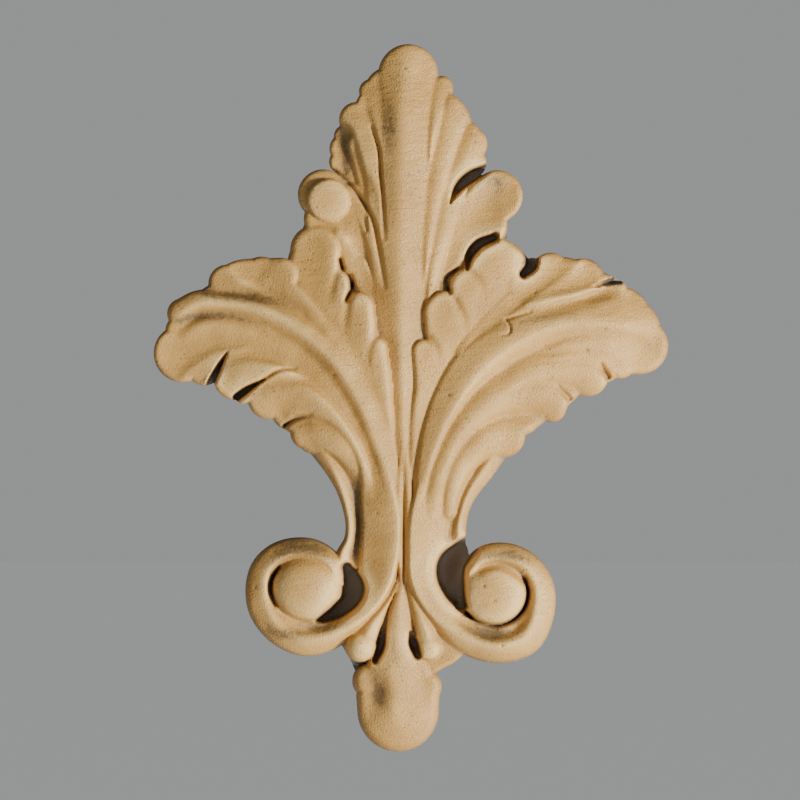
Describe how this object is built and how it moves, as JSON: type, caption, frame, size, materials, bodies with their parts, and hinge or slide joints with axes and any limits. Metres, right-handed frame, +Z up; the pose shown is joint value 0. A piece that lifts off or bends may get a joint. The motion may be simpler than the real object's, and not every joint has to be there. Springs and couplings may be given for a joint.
{
  "type": "fleur-de-lis moulding",
  "caption": "Flat-backed flexible onlay shaped as a fleur-de-lis of acanthus leaves on scrolled stems, glued on furniture, doors, frames or walls.",
  "frame": {"origin": "middle of the flat back, halfway up the ornament's height, on the glued face", "axes": "+Y out of the back into whatever it is fixed to, -Y towards the viewer, +Z up along the centre leaf, +X to the viewer's right"},
  "size_m": [0.1288, 0.0138, 0.1769],
  "materials": {
    "resin": "tan cast flexible resin, matt with a fine grain and brown dirt in the hollows"
  },
  "bodies": {
    "root": {"moulding": "resin"}
  },
  "joints": []
}
